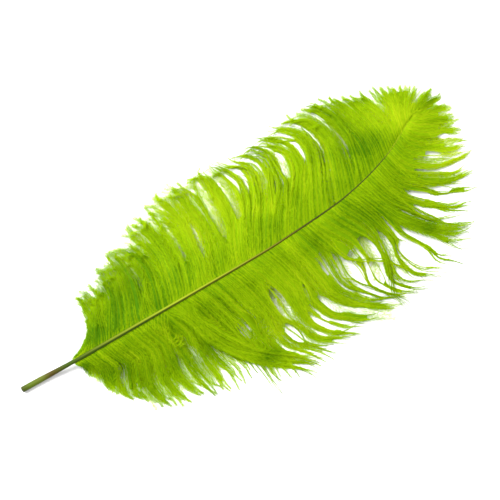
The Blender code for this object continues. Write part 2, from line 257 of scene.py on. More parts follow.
# Barbs combed over their neighbours: side, station, half the run of shaft that they leave, how many,
# half the width of the lock at mid vane and at its tip, lift, how far its barbules stand off, the share
# of them that it has, and the places that it runs through. Those with a lift below 0 are the thin haze
# of barbs under the others, which shows in the gaps, so nothing parts them.
CROSSINGS = (
    (RIGHT, 140, 14, 26, 7, 6.0, 0.5, 0.9, 1.0,
     ((146, -22), (152, -40), (163, -57), (178, -73), (191, -84), (201, -92), (207, -97))),
    (RIGHT, 157, 4, 4, 2.4, 3.0, 0.8, 0.3, 0.8,
     ((168, -40), (172, -66), (175, -86), (176, -103))),
    (RIGHT, 250, 1, 3, 0.6, 0.8, 2.6, 0.3, 0.8,
     ((259, -22), (266, -44), (271, -59), (280, -72), (291, -84), (300, -98))),
    (RIGHT, 258, 1, 3, 0.8, 1.0, 2.2, 0.3, 0.8,
     ((265, -20), (272, -38), (282, -48), (299, -56), (310, -65), (317, -79))),
    (RIGHT, 276, 2, 5, 1.0, 1.2, 2.0, 0.3, 0.8,
     ((285, -18), (294, -34), (298, -52), (293, -68), (290, -80), (294, -92))),
    (RIGHT, 190, 1, 3, 1.3, 1.6, 1.0, 0.3, 0.8,
     ((200, -34), (206, -58), (207, -78), (216, -89), (226, -101))),
    (RIGHT, 308, 8, 16, 3.2, 4.0, 2.0, 0.9, 1.0,
     ((315, -14), (322, -30), (334, -46), (348, -58), (368, -67))),
    (RIGHT, 326, 1, 2, 0.4, 0.5, 1.0, 0.3, 0.8,
     ((333, -26), (344, -45), (358, -50), (372, -55))),
    (RIGHT, 340, 1, 3, 1.6, 2.0, 1.0, 0.3, 0.8,
     ((350, -14), (362, -26), (372, -33), (382, -39))),
    (LEFT, 204, 1, 2, 0.8, 1.0, 2.4, 0.3, 0.8,
     ((214, 22), (222, 40), (224, 56), (216, 68), (206, 70))),
    (LEFT, 210, 1, 2, 0.6, 0.8, 2.4, 0.3, 0.8,
     ((220, 22), (228, 42), (228, 60), (222, 71), (212, 79))),
    (LEFT, 216, 2, 3, 0.6, 0.8, 2.4, 0.3, 0.8,
     ((227, 22), (238, 44), (240, 60), (228, 68), (207, 69))),
    (LEFT, 188, 3, 4, 1.6, 2.0, 1.6, 0.3, 0.8,
     ((197, 30), (198, 50), (194, 64), (185, 74), (178, 74))),
    (LEFT, 228, 2, 4, 1.0, 1.2, 2.0, 0.3, 0.8,
     ((240, 20), (252, 44), (253, 60), (250, 70), (243, 73))),
    (LEFT, 240, 2, 4, 1.0, 1.2, 2.0, 0.3, 0.8,
     ((252, 22), (262, 44), (260, 62), (254, 72), (246, 77))),
    (LEFT, 310, 5, 12, 2.0, 2.5, 1.6, 0.9, 1.0,
     ((317, 26), (320, 46), (317, 62), (311, 73), (307, 80))),
    (LEFT, 194, 5, 8, 4.0, 5.0, -0.6, 1.6, 0.4,
     ((199, 18), (203, 38), (205, 56), (201, 74))),
    (LEFT, 208, 3, 5, 2.4, 2.8, -0.6, 1.6, 0.4,
     ((213, 18), (218, 36), (219, 54), (214, 72))),
    (LEFT, 158, 2, 2, 1.2, 1.4, -0.6, 1.4, 0.3,
     ((165, 26), (164, 44), (160, 60))),
    (LEFT, 172, 2, 2, 2.0, 2.2, -0.6, 1.4, 0.3,
     ((178, 18), (180, 33), (182, 48))),
    (LEFT, 98, 26, 22, 25.0, 27.0, -0.6, 1.4, 0.4,
     ((107, 14), (111, 28), (109, 40), (106, 50))),
    (LEFT, 158, 24, 18, 23.0, 25.0, -0.6, 1.5, 0.35,
     ((166, 18), (169, 38), (167, 56), (162, 71))),
    (LEFT, 236, 22, 11, 19.0, 15.0, -0.6, 1.6, 0.25,
     ((244, 14), (254, 30), (260, 44), (260, 54), (255, 60))),
    (RIGHT, 104, 28, 20, 26.0, 28.0, -0.6, 1.4, 0.4,
     ((107, -13), (111, -26), (108, -42), (110, -62))),
    (RIGHT, 200, 3, 4, 3.0, 3.2, -0.6, 1.6, 0.3,
     ((204, -22), (208, -40), (209, -56), (213, -68))),
    (RIGHT, 167, 1, 1, 0.8, 1.0, -0.6, 1.4, 0.3,
     ((171, -24), (173, -42), (176, -56))),
    (RIGHT, 174, 1, 1, 0.8, 1.0, -0.6, 1.4, 0.3,
     ((179, -24), (182, -40), (183, -54))),
    (RIGHT, 258, 3, 3, 2.0, 2.4, -0.6, 1.5, 0.35,
     ((262, -22), (264, -38), (265, -52), (268, -64))),
    (RIGHT, 266, 3, 2, 2.0, 2.4, -0.6, 1.5, 0.3,
     ((270, -20), (275, -34), (277, -46), (275, -58))),
    (RIGHT, 284, 3, 3, 2.0, 2.4, -0.6, 1.5, 0.35,
     ((289, -22), (291, -38), (290, -50), (286, -64))),
    (RIGHT, 298, 3, 3, 2.0, 2.4, -0.6, 1.5, 0.35,
     ((302, -22), (303, -40), (304, -56), (307, -70))),
    (RIGHT, 238, 6, 4, 4.0, 6.0, -0.6, 1.4, 0.35,
     ((244, -50), (252, -68), (264, -82), (282, -92))),
)
# Patches painted darker (below 0) or lighter: painted shade where barbs lie in hollows and in shadow,
# painted light in deep gaps and where the vane lies away from the lamp, and in part dye that took
# unevenly. Along, across, half the patch's length and width, by how much.
SHADE_LIGHT_AND_DYE_PATCHES = (
    (72, 7, 10, 6, -0.25), (52, -12, 6, 5, -0.3), (63, -23, 6, 8, -0.25), (76, -26, 8, 9, -0.25),
    (116, -41, 6, 7, -0.15), (145, -48, 10, 9, -0.16), (182, -76, 14, 7, -0.22), (331, 31, 19, 12, -0.33),
    (320, -26, 32, 20, -0.15), (341, -50, 9, 7, -0.25), (254, -62, 9, 16, -0.2), (275, -84, 12, 7, -0.2),
    (358, 38, 22, 17, 0.2), (365, 26, 12, 10, 0.15), (105, -17, 14, 9, 0.05), (118, 22, 50, 25, -0.24),
    (174, 57, 8, 18, 0.05), (195, -62, 7, 9, 0.15), (240, 45, 30, 18, 0.1), (382, -8, 20, 18, 0.25),
    (200, 12, 36, 12, -0.08), (316, 46, 20, 20, -0.1), (95, -40, 24, 18, -0.2), (80, 12, 24, 14, -0.1),
    (140, -14, 36, 12, -0.07), (230, 29, 3.5, 6, 0.2), (241, 27, 3.5, 6, 0.2), (270, -14, 36, 12, -0.1),
    (270, -50, 30, 14, 0.1), (206, 45, 16, 22, 0.06), (180, 33, 3.5, 13, 0.1), (163, 43, 3, 17, 0.1),
    (210, -43, 4, 14, 0.1),
)
# How the two sides of the vane differ. Pairs give a station on the shaft and the value there.
#   root: how far out from the shaft's middle its barbs leave it, as a share of its radius
#   sunk: how far below its middle they leave it
#   wander: how much they stray from a clean line, against the usual
#   strays: the share of them that curl away from their lock
#   short: the share of them that end early
#   curl: how many degrees their tips turn, and curl_lean: how much more of them turn one way
#   gap_fringe: the share of their length that barbules keep beside a gap
HABITS = {
    LEFT: {
        "root": 0.45,
        "sunk": ((190, -0.3), (260, 0.1)),
        "wander": ((46, 0.5), (150, 0.6), (200, 1), (262, 1), (290, 0.4), (371, 0.5)),
        "strays": 0.18,
        "short": ((46, 0.5), (150, 0.45), (200, 0.3)),
        "curl": ((46, 28), (80, 38), (200, 44), (240, 28), (371, 24)),
        "curl_lean": 0.8,
        "gap_fringe": 0.85,
    },
    RIGHT: {
        "root": 0.8,
        "sunk": ((190, 0.5), (260, 0.1)),
        "wander": ((46, 0.6), (150, 0.7), (200, 0.9), (262, 0.9), (290, 0.8), (371, 0.7)),
        "strays": 0.12,
        "short": ((46, 0.3),),
        "curl": ((80, 18), (200, 14)),
        "curl_lean": 0.0,
        "gap_fringe": 0.4,
    },
}
SIDE_NAMES = {LEFT: "left", RIGHT: "right"}
QUARTERS = ("base", "lower", "upper", "end")     # each side's barbs are four pieces, from the quill up
BARB_ROWS = 26
MORE_AT_END = 1.15                               # more barbs than the shaft's length holds, for its end
STRAND_SIZES = (1, 3)                            # barbs that cling together
LOCK_SIZES = (0.6, 1.4)                          # against the usual width of a lock
PARTING_ROOM = 2.0                               # no other lock ends this close to the partings

# How far strands and single barbs differ by chance: sideways and up in millimetres, and in their dye.
STRAND_SPREAD = {"aside": 0.5, "up": 0.12, "dye": 0.02}
BARB_SPREAD = {"aside": 0.8, "up": 0.16, "dye": 0.06}
# Waves that neighbours share: their size, and how long they are across the barbs and down them.
SLOW_WAVES, QUICK_WAVES, HEIGHT_WAVES = (1.2, 18, 60), (0.5, 5, 28), (0.2, 25, 90)
SHORT_BARBS = (0.7, 0.97)                        # what is left of a barb that ends early
CURL_START, CURL_RUN = 0.84, 0.16                # where a barb's tip starts to curl and how long it is
STRAY_CURL = 2.0                                 # against the others' curl
STRAY_FLUFF, STRAY_DENSE = 0.15, 0.6             # barbules on a stray: how far off they stand, how many
TABLE_CLEAR = {"barb": 0.12, "felt": 0.06, "barbule": 0.05}     # the least height of their points
FELT_DROP = 0.3                                  # how far under its barbs the felt lies
FELT_WIDEST = 6.5                                # two barbs further apart than this have no felt
# Painted shade on the felt between the barbs, and painted light on the haze in the deep gaps.
FELT_PAINTED_SHADE, HAZE_PAINTED_LIGHT = -0.24, 0.1              # as in SHADE_LIGHT_AND_DYE_PATCHES

BARBULE_PARTS = (0.45, 0.55)                     # the shares of a barbule before and after its bend
BARBULE_OPEN, BARBULE_CLING = (38, 10), (12, 12)     # their degrees off the barb, mean and spread
BARBULE_TILT = (-0.3, 0.2)                       # how steeply it rises, mean and spread
BARBULE_SIZES = (0.55, 1.15)                     # against the usual length
GAP_MARGIN = 2.5                                 # how far beside a gap its barbules are short

# Each barb has a strip of the map to itself. These are the parts of it, across the strip.
ROD_STRIP, FELT_STRIP, FRINGE_STRIP = (0.05, 0.3), (0.31, 0.39), (0.4, 0.95)
MAP = "OFBake"
MAP_ROUND = 1.1                                  # turns round the shaft that its map has room for
SEED = 2                                         # where every chance draw starts from

# The camera sees the plume from above, with the shaft rising 30 degrees to the right. The quill's
# cut end is at this place in a picture of 500 by 500 points, in which 400 mm of plume take up 509.
PICTURE = 500
SHAFT_RISE = 30.0
QUILL_END = (22.0, 388.0)
MM_PER_POINT = 400.0 / 509.0
LENS = 85.0
SENSOR = 36.0
TABLE_SIZE = 6.0                                 # metres
SKY_STRENGTH = 0.85
KEY_PLACE, KEY_SIZE, KEY_POWER = (-0.32, 1.2, 1.4), 0.9, 56.0     # metres and watts

SHAFT_CORNERS = 20
SHAFT_RINGS = (
    0.0, 0.5, 1.2, 3.0, 7.0, REST_LENGTH, *np.linspace(16, VANE_START, 9), *np.linspace(52, SHAFT_END, 55),
)
CUT_SHARE = 0.9                                  # what the rounded cut edge keeps of the quill's width
BORE_EDGE = 0.4                                  # the bore's rim is a band this deep
DYE_PATCH = 22.0                                 # millimetres, as the next
HORN_STREAK = (9.0, 0.6, 0.6)                    # wider than the real grain, so that it shows


def linear(text):
    """An sRGB hex colour as linear red, green, blue and alpha."""
    parts = [int(text[i:i + 2], 16) / 255 for i in (1, 3, 5)]
    return tuple(c / 12.92 if c <= 0.04045 else ((c + 0.055) / 1.055) ** 2.4 for c in parts) + (1.0,)


def colour(text, name, description):
    return bpy.props.FloatVectorProperty(
        name=name, description=description, subtype="COLOR", size=4, min=0, max=1, default=linear(text),
    )


class PlumeSettings(bpy.types.PropertyGroup):
    """What a user would change on the plume."""

    barb_gap: bpy.props.FloatProperty(
        name="Barb spacing", description="Room between two barbs where they leave the shaft",
        default=1.45 * MM, min=0.4 * MM, unit="LENGTH",
    )
    barb_thickness: bpy.props.FloatProperty(
        name="Barb thickness", description="Thickness of one barb at its root",
        default=0.5 * MM, min=0.1 * MM, unit="LENGTH",
    )
    barbule_gap: bpy.props.FloatProperty(
        name="Barbule spacing", description="Room between two barbules on one side of a barb",
        default=0.29 * MM, min=0.2 * MM, unit="LENGTH",
    )
    barbule_length: bpy.props.FloatProperty(
        name="Barbule length", description="Length of the longest barbules",
        default=5.0 * MM, min=0.5 * MM, unit="LENGTH",
    )
    barbule_width: bpy.props.FloatProperty(
        name="Barbule width", description="Width of one barbule, drawn wider than real so that it shows",
        default=0.34 * MM, min=0.02 * MM, unit="LENGTH",
    )
    # The barb greens follow the dye value, which also carries painted shade and highlight: deep green is
    # most dye and painted shade, pale lime least dye and painted highlight.
    shadow_green: colour("#558a00", "Deep green", "Barbs that took most dye")
    leaf_green: colour("#a6cc00", "Lime green", "Most of the barbs")
    pale_dye_and_highlight_green: colour("#d0e21c", "Pale lime", "Barbs that took least dye")
    horn_green: colour("#566a10", "Horn green", "The bare quill")
    horn_brown: colour("#4e4010", "Horn brown", "Patches where the horn shows through the dye")
    # Pale horn along the shaft's top, painted brighter as a highlight on the side towards the key light.
    horn_pale_ridge_and_highlight: colour("#94a40a", "Horn light", "The pale ridge of the shaft")


def settings():
    return bpy.context.scene.plume


def blend(t, length, start, end, start_slope, end_slope):
    """A smooth run from one value to the next, with the slope that it has at either."""
    from_start = (1 + 2 * t) * (1 - t) ** 2 * start + t * (1 - t) ** 2 * length * start_slope
    from_end = t ** 2 * (3 - 2 * t) * end - t ** 2 * (1 - t) * length * end_slope
    return from_start + from_end


def smooth(table, at):
    """Read a table of (along, value) rows on a smooth curve that never overshoots them."""
    along, value = np.array(table, dtype=float).T
    step = np.diff(along)
    slope = np.diff(value) / step
    before, after = slope[:-1], slope[1:]
    product = before * after
    total = np.where(product > 0, before + after, 1.0)
    inner = np.where(product > 0, 2 * product / total, 0.0)
    lean = np.concatenate((slope[:1], inner, slope[-1:]))
    i = np.clip(np.searchsorted(along, at, side="right") - 1, 0, len(step) - 1)
    return blend((at - along[i]) / step[i], step[i], value[i], value[i + 1], lean[i], lean[i + 1])


def by_station(pairs, stations):
    """Read pairs of (station, value) on straight lines between them."""
    return np.interp(stations, *np.array(pairs, dtype=float).T)


def ease(at, start=0.0, length=1.0):
    """A soft rise from 0 at its start to 1 a length further on. Down a barb, both are shares of it."""
    share = np.clip((at - start) / length, 0.0, 1.0)
    return share * share * (3 - 2 * share)


def unit(vectors):
    return vectors / np.linalg.norm(vectors, axis=-1, keepdims=True)


def turned_left(vectors):
    """Level vectors turned left by a right angle."""
    return np.stack((-vectors[..., 1], vectors[..., 0]), axis=-1)


def shaft_radius(along):
    return smooth(SHAFT_DIAMETER, along) / 2


def shaft_height(along):
    return smooth(SHAFT_LIFT, along) + shaft_radius(along)


def shaft_left(along):
    """The level direction square to the shaft, towards its left, for an array of stations."""
    reach = 0.5
    ahead = np.minimum(along + reach, SHAFT_END)
    behind = np.maximum(along - reach, 0.0)
    run = np.stack((ahead - behind, smooth(SHAFT_LINE, ahead) - smooth(SHAFT_LINE, behind)), axis=-1)
    return turned_left(unit(run))


def frame_shift():
    """What turns along and across into the frame's X and Y, from the quill's rest on the table."""
    rest = next(m for m in frame["record"]["mounts"] if m["name"] == "quill_rest")["pos_m"]
    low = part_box(NODE)[0]
    along = rest[0] / MM - low[0] / MM
    return np.array((low[0] / MM, rest[1] / MM - float(smooth(SHAFT_LINE, along)), 0.0))


SHIFT = frame_shift()


def in_frame(points):
    """Millimetres along, across and up as metres in the frame."""
    return (np.asarray(points, dtype=float) + SHIFT) * MM


def curve(points, rows):
    """Even steps along a smooth curve through the points."""
    points = np.asarray(points, dtype=float)
    chord = np.linalg.norm(np.diff(points, axis=0), axis=-1)
    slope = np.diff(points, axis=0) / chord[:, None]
    lean = np.empty_like(points)
    lean[0], lean[-1] = slope[0], slope[-1]
    before, after = chord[:-1, None], chord[1:, None]
    lean[1:-1] = (slope[:-1] * after + slope[1:] * before) / (before + after)
    fine = []
    for i, length in enumerate(chord):
        t = np.linspace(0, 1, 12, endpoint=False)[:, None]
        fine.append(blend(t, length, points[i], points[i + 1], lean[i], lean[i + 1]))
    return even_steps(np.concatenate(fine + [points[-1:]]), rows)


def even_steps(path, rows, reach=1.0):
    """Resample a path in even steps, up to a share of its length, or a little past its end."""
    done = np.concatenate(((0.0,), np.cumsum(np.linalg.norm(np.diff(path, axis=0), axis=-1))))
    at = np.linspace(0, reach * done[-1], rows)
    inside = np.stack([np.interp(at, done, column) for column in path.T], axis=-1)
    run = path[-1] - path[-2]
    past = np.maximum(at - done[-1], 0)[:, None]
    return inside + past * run / np.linalg.norm(run)


def root_points(side, stations):
    """Where barbs leave the shaft: from its sides, and further up from on top of it."""
    root = np.stack((stations, smooth(SHAFT_LINE, stations)), axis=-1)
    out = HABITS[side]["root"] * (1 - 0.85 * ease(stations, 190, 70))
    return root + side * (out * shaft_radius(stations))[:, None] * shaft_left(stations)


def lock_bounds(total, starts, side, pick):
    """Where one lock ends and the next begins, on the running width of the side's lines."""
    along, width = np.array(LOCKS[side]).T[:2]
    partings = np.interp(PARTINGS[side], starts[:-2], total[:-2])
    bounds = [0.0]
    while bounds[-1] < total[-1]:
        here = np.interp(bounds[-1], total, starts)
        bounds.append(bounds[-1] + np.interp(here, along, width) * pick.uniform(*LOCK_SIZES))
    before = [bound for bound in bounds if bound < partings[0] - PARTING_ROOM]
    after = [bound for bound in bounds if bound > partings[-1] + PARTING_ROOM]
    return np.array(before + list(partings) + after)


def plan_side(side, count, pick):
    """Barbs spread evenly over one side, seen from above. Gives them with the stations that they
    leave, the strand and the lock that each is in, how far out in the lock it is, how much the lock
    is raised and how far its barbules stand off."""
    starts = np.array([line[0] for line in LINES[side]], dtype=float)
    roots = root_points(side, starts)
    lines = np.stack([curve([root, *line[1:]], BARB_ROWS) for root, line in zip(roots, LINES[side])])
    room = (np.diff(starts) + np.linalg.norm(np.diff(lines[:, -1], axis=0), axis=-1)) / 2
    total = np.concatenate(((0.0,), np.cumsum(room)))
    places = (np.arange(count) + pick.uniform(0.35, 0.65, count)) / count * total[-1]
    strands = strand_groups(count, pick)
    shares = np.linspace(0, 1, BARB_ROWS)
    bundle = np.bincount(strands, places)[strands] / np.bincount(strands)[strands]
    ways = bundle[:, None] + np.outer(places - bundle, 0.5 + 0.5 * ease(shares, 0.3, 0.5))

    bounds = lock_bounds(total, starts, side, pick)
    lock = np.searchsorted(bounds, places) - 1
    middle = (bounds[lock] + bounds[lock + 1]) / 2
    offset = (places - middle) / (bounds[lock + 1] - bounds[lock]) * 2

    def spots(at):
        return np.interp(at, total, np.arange(len(starts)))

    stations = np.interp(ways[:, 0], total, starts)
    along, *columns = np.array(LOCKS[side]).T
    kept, fluff, start, spread = (np.interp(stations, along, column) for column in columns[1:])
    tied = np.minimum(2.5 * (1 - kept), 1)
    kept = 1 - (1 - kept) * pick.uniform(0.7, 1.4, count)
    start, spread = start[:, None], spread[:, None]
    closing = ease(shares, start, np.minimum(0.4, 1.05 - start)) * (1 - spread * ease(shares, 0.7, 0.3))
    spot = spots(ways) + ((spots(middle) - spots(places)) * (1 - kept))[:, None] * closing
    low = np.minimum(spot.astype(int), len(starts) - 2)
    part = (spot - low)[..., None]
    rows = np.arange(BARB_ROWS)
    plan = lines[low, rows] * (1 - part) + lines[low + 1, rows] * part
    shift = root_points(side, stations) - plan[:, 0]
    plan += shift[:, None] * (1 - ease(shares, 0, 0.3))[None, :, None]
    sway = pick.normal(0, 0.9, lock.max() + 1)[lock] * tied
    plan = sideways(plan, sway[:, None] * closing)
    rise = pick.normal(0, 0.35, lock.max() + 1)[lock] * (0.3 + 0.7 * tied)
    return plan, stations, strands, lock, offset * tied, rise, fluff


def plan_crossing(crossing, pick):
    """The barbs of one row of CROSSINGS, seen from above, and the stations that they leave."""
    side, station, reach, count, middle_width, tip_width = crossing[:6]
    stations = np.clip(station + np.linspace(-reach, reach, count), VANE_START, SHAFT_END)
    across = np.sort(np.clip(np.linspace(-1, 1, count) + pick.normal(0, 0.3, count), -1.1, 1.1))
    shares = np.linspace(0, 1, BARB_ROWS)
    widths = middle_width + (tip_width - middle_width) * ease(shares, 0.3, 0.5)
    plan = []
    for root, place in zip(root_points(side, stations), across):
        line = curve([root, *crossing[-1]], BARB_ROWS)
        wide = place * widths * ease(shares, 0, 0.3)
        plan.append(line - side * turned_left(unit(np.gradient(line, axis=0))) * wide[:, None])
    return np.array(plan), stations


def from_gap(points, gap):
    """How far points seen from above are down a gap and out from its middle line, and the way out."""
    along, across, heading = gap[:3]
    run = np.array((math.cos(math.radians(heading)), math.sin(math.radians(heading))))
    aside = turned_left(run)
    off = points - (along, across)
    return off @ run, off @ aside, aside


def gap_share(points, gap, margin=0.0):
    """0 in the middle of a gap and 1 all round its edge, or round a margin beside it."""
    down, out = from_gap(points, gap)[:2]
    half_length, half_width = gap[3:5]
    return (down / half_length) ** 2 + (out / (half_width + margin)) ** 2


def part_at_gaps(points, pick):
    """Push barbs apart where the vane is parted. The points are barbs by rows, seen from above."""
    for gap in GAPS:
        half_length, half_width, strays = gap[3:]
        down, out, aside = from_gap(points, gap)
        nearest = np.argmin(np.abs(down), axis=1)
        side = np.sign(out[np.arange(len(out)), nearest])
        side[side == 0] = 1
        held = pick.random(len(out)) > strays
        open_width = half_width * np.sqrt(np.clip(1 - (down / half_length) ** 2, 0, 1)) + 1e-6
        reach = np.maximum(out * side[:, None], 0)
        pushed = reach + open_width * np.exp(-reach / (2.2 * open_width))
        inside = (np.abs(down) < half_length) & held[:, None] & (reach < 6 * half_width)
        moved = np.where(inside, pushed * side[:, None], out)
        points = points + (moved - out)[..., None] * aside
    return points


def gather(points, groups, pull):
    """Draw the barbs of each group towards their middle by a share for each row."""
    for group in np.unique(groups):
        chosen = groups == group
        middle = points[chosen].mean(axis=0, keepdims=True)
        points[chosen] += (middle - points[chosen]) * pull[chosen][..., None]
    return points


def strand_groups(count, pick):
    """Number the barbs by the strand they cling to."""
    groups = []
    while len(groups) < count:
        groups += [groups[-1] + 1 if groups else 0] * int(pick.integers(*STRAND_SIZES, endpoint=True))
    return np.array(groups[:count])


def drift(stations, way, pick, across, down):
    """Smooth wandering in about -1 to 1, the same for neighbours: lengths of change are given in
    millimetres across the barbs and down them."""
    waves = 7
    total = np.zeros_like(way)
    for wave in range(waves):
        pace = pick.normal(0, 1, 2) / (across, down)
        total += np.sin(2 * math.pi * (stations[:, None] * pace[0] + way * pace[1] + pick.random()))
    return total * math.sqrt(2 / waves) * 0.7


def sideways(plan, size):
    """Move each barb's points square to its run by the given sizes."""
    return plan + turned_left(unit(np.gradient(plan, axis=1))) * size[..., None]


def dress(plan, stations, strands, side, offset, lift, pick, parted=True):
    """Turn barbs seen from above into loose, curling barbs with heights. Gives their points, their
    dye and whether each is a stray."""
    habits = HABITS[side]
    count = len(plan)
    shares = np.linspace(0, 1, BARB_ROWS)
    way = np.outer(np.linalg.norm(np.diff(plan, axis=1), axis=-1).sum(axis=1), shares)

    def by_chance(kind):
        strand_values = pick.normal(0, STRAND_SPREAD[kind], strands.max() + 1)
        return strand_values[strands] + pick.normal(0, BARB_SPREAD[kind], count)

    def waves(size, across, down):
        return size * drift(stations, way, pick, across, down)

    # Seen from above, the barbs wander, and their strands close up again towards their tips.
    wander = (waves(*SLOW_WAVES) + waves(*QUICK_WAVES)) * ease(shares, 0.08, 0.6)
    wander = wander * by_station(habits["wander"], stations)[:, None]
    wander += np.outer(by_chance("aside"), ease(shares, 0.25, 0.75))
    plan = sideways(plan, wander)
    plan = gather(plan, strands, np.outer(pick.uniform(0, 0.35, count), ease(shares, 0.6, 0.4)))
    if parted:
        plan = part_at_gaps(plan, pick)

    # Barbs in the middle of a lock reach furthest, and strays curl away from it.
    stray = (pick.random(count) < habits["strays"]) & parted
    early = pick.random(count) < by_station(habits["short"], stations)
    short = np.where(early, pick.uniform(*SHORT_BARBS, count), 1.0)
    reach = short * (1.07 - 0.12 * np.abs(offset) ** 1.5 - np.abs(pick.normal(0, 0.045, count)))
    reach = np.where(stray, pick.uniform(0.97, 1.07, count), reach)
    plan = np.stack([even_steps(path, BARB_ROWS, far) for path, far in zip(plan, reach)])
    curl = (pick.normal(0, 0.9, count) + habits["curl_lean"]) * by_station(habits["curl"], stations)
    curl = curl * np.where(stray, STRAY_CURL, 1) * side
    plan = curl_tips(plan, curl)

    # From the shaft they arch down to the table, and lie over and under each other in layers.
    out = shares / LANDED_SHARE
    arch = shaft_height(stations)[:, None] * (1 - ease(out ** 0.75))
    arch = arch + BARB_RISE * np.sin(math.pi * np.minimum(out, 1))
    level = 1.0 + waves(*HEIGHT_WAVES) * ease(shares, 0, 0.5)
    layered = ease(shares, 0.15, 0.5) * (1 + ease(shares, 0.4, 0.3))
    level = level + np.outer(by_chance("up"), layered)
    sunk = by_station(habits["sunk"], stations)[:, None]
    height = arch + 0.25 - sunk * (1 - ease(out)) + level * ease(shares, 0, 0.12)
    height += np.outer(lift, ease(shares, 0.2, 0.4) * (1 - 0.6 * ease(shares, 0.7, 0.3)))
    height += np.abs(curl)[:, None] / 40 * 1.4 * ease(shares, CURL_START, CURL_RUN)
    height = np.maximum(height, TABLE_CLEAR["barb"])

    dye = 0.5 + by_chance("dye") - 0.04 * lift
    return np.concatenate((plan, height[..., None]), axis=-1), dye, stray


def dye_and_shade_at(verts, dye):
    """The dye of points, with the patches painted darker or lighter: painted shade and light, in part uneven
    dye.
    """
    for along, across, half_length, half_width, change in SHADE_LIGHT_AND_DYE_PATCHES:
        far = ((verts[:, 0] - along) / half_length) ** 2 + ((verts[:, 1] - across) / half_width) ** 2
        dye = dye + change * np.exp(-far)
    return dye


def curl_tips(points, curl):
    """Turn the end of each barb by its own angle, growing towards the tip."""
    steps = np.diff(points, axis=1)
    shares = (np.arange(steps.shape[1]) + 0.5) / steps.shape[1]
    angle = np.radians(curl)[:, None] * ease(shares, CURL_START, CURL_RUN)
    turned = np.stack((
        steps[..., 0] * np.cos(angle) - steps[..., 1] * np.sin(angle),
        steps[..., 0] * np.sin(angle) + steps[..., 1] * np.cos(angle),
    ), axis=-1)
    path = np.concatenate((np.zeros_like(turned[:, :1]), np.cumsum(turned, axis=1)), axis=1)
    return path + points[:, :1]


def frames(points):
    """Unit directions along each path, level and square to it, and up and square to it."""
    run = unit(np.gradient(points, axis=1))
    level = unit(np.cross(np.array((0.0, 0.0, 1.0)), run))
    return run, level, np.cross(run, level)


def row_shares(shares):
    """The way down the barb at the corners of each quad between two of its rows."""
    return np.stack((shares[:-1], shares[:-1], shares[1:], shares[1:]), axis=-1)


def barb_mesh(points, dye):
    """Three-sided tapering rods. As felt_mesh and barbule_mesh do, gives the points, the quads and
    their places on the map, the triangles and theirs, and the dye value, with painted shade and highlight in
    it."""
    count, rows = points.shape[:2]
    shares = np.linspace(0, 1, rows)
    radius = settings().barb_thickness / MM / 2 * (1 - 0.4 * ease(shares * 1.1))
    level, rise = frames(points)[1:]
    rings = []
    for corner in range(3):
        angle = math.pi / 2 + corner * 2 * math.pi / 3
        rings.append(points + radius[None, :, None] * (math.cos(angle) * level + math.sin(angle) * rise))
    verts = np.stack(rings, axis=2).reshape(-1, 3)

    number = np.arange(count * rows * 3).reshape(count, rows, 3)
    edge, far_edge = ROD_STRIP
    quads, places = [], []
    for corner in range(3):
        after = (corner + 1) % 3
        quads.append(np.stack((
            number[:, :-1, corner], number[:, :-1, after], number[:, 1:, after], number[:, 1:, corner],
        ), axis=-1))
        band = np.array((corner, corner + 1, corner + 1, corner)) / 3 * (far_edge - edge) + edge
        v = np.arange(count)[:, None, None] + band[None, None, :] + np.zeros((1, rows - 1, 1))
        u = np.broadcast_to(row_shares(shares), (count, rows - 1, 4))
        places.append(np.stack((u, v), axis=-1))
    quads = np.stack(quads, axis=2).reshape(-1, 4)
    places = np.stack(places, axis=2).reshape(-1, 4, 2)
    tip_u = np.array((0.995, 1.0, 0.995)) + np.zeros((count, 1))
    tip_v = np.arange(count)[:, None] + np.array((0, 0.1, 0.2)) + edge
    # Painted highlight: the rods are 0.24 lighter than their barbules, as light along the tops of the barbs.
    # Besides, they are darker near the shaft and towards the tip.
    rod_highlight_and_tone = 0.24 - 0.13 * (1 - ease(shares, 0, 0.4)) - 0.25 * ease(shares, 0.8, 0.2)
    shade = dye_and_shade_at(verts, np.repeat(dye, rows * 3) + np.tile(np.repeat(rod_highlight_and_tone, 3), count))
    return verts, quads, places, number[:, -1], np.stack((tip_u, tip_v), axis=-1), shade


def felt_mesh(points, dye, lock, fluff, numbers):
    """The layer that the innermost barbules of neighbouring barbs mat into: sheets from barb to barb,
    just under them, wherever these lie close, painted darker as shade in the valleys between the barbs.
    The numbers say whose strip of the map each has."""
    count, rows = points.shape[:2]
    shares = np.linspace(0, 1, rows)
    verts = points - (0, 0, 1) * (FELT_DROP * ease(shares, 0, 0.1))[None, :, None]
    verts[..., 2] = np.maximum(verts[..., 2], TABLE_CLEAR["felt"])

    apart = np.linalg.norm(np.diff(points[..., :2], axis=0), axis=-1)
    bare = 1 - ease(fluff[:-1], 0.9, 0.3)
    narrower = np.where(np.diff(lock) == 0, 1.5 + 1.5 * bare, 2.2 + 2.6 * bare)
    widest = FELT_WIDEST - narrower[:, None] * ease(shares, 0.3, 0.4)
    in_gap = np.zeros((count, rows), dtype=bool)
    for gap in GAPS:
        in_gap |= gap_share(points[..., :2], gap) < 0.8
    close = (apart < widest) & (shares < 0.92) & ~in_gap[:-1] & ~in_gap[1:]
    whole = close[:, :-1] & close[:, 1:]

    number = np.arange(count * rows).reshape(count, rows)
    quads = np.stack((number[:-1, :-1], number[1:, :-1], number[1:, 1:], number[:-1, 1:]), axis=-1)[whole]
    edge, far_edge = FELT_STRIP
    band = np.array((edge, far_edge, far_edge, edge))
    v = (numbers[:-1] - numbers[0])[:, None, None] + band + np.zeros((1, rows - 1, 1))
    u = row_shares(shares) + np.zeros((count - 1, 1, 1))
    places = np.stack((u, v), axis=-1)[whole]
    # Painted shade: the felt is darker than its barbs, as the valleys between them lie in shadow.
    shade = dye_and_shade_at(verts.reshape(-1, 3), np.repeat(dye + FELT_PAINTED_SHADE, rows))
    return verts.reshape(-1, 3), quads, places, np.zeros((0, 3), dtype=int), np.zeros((0, 3, 2)), shade


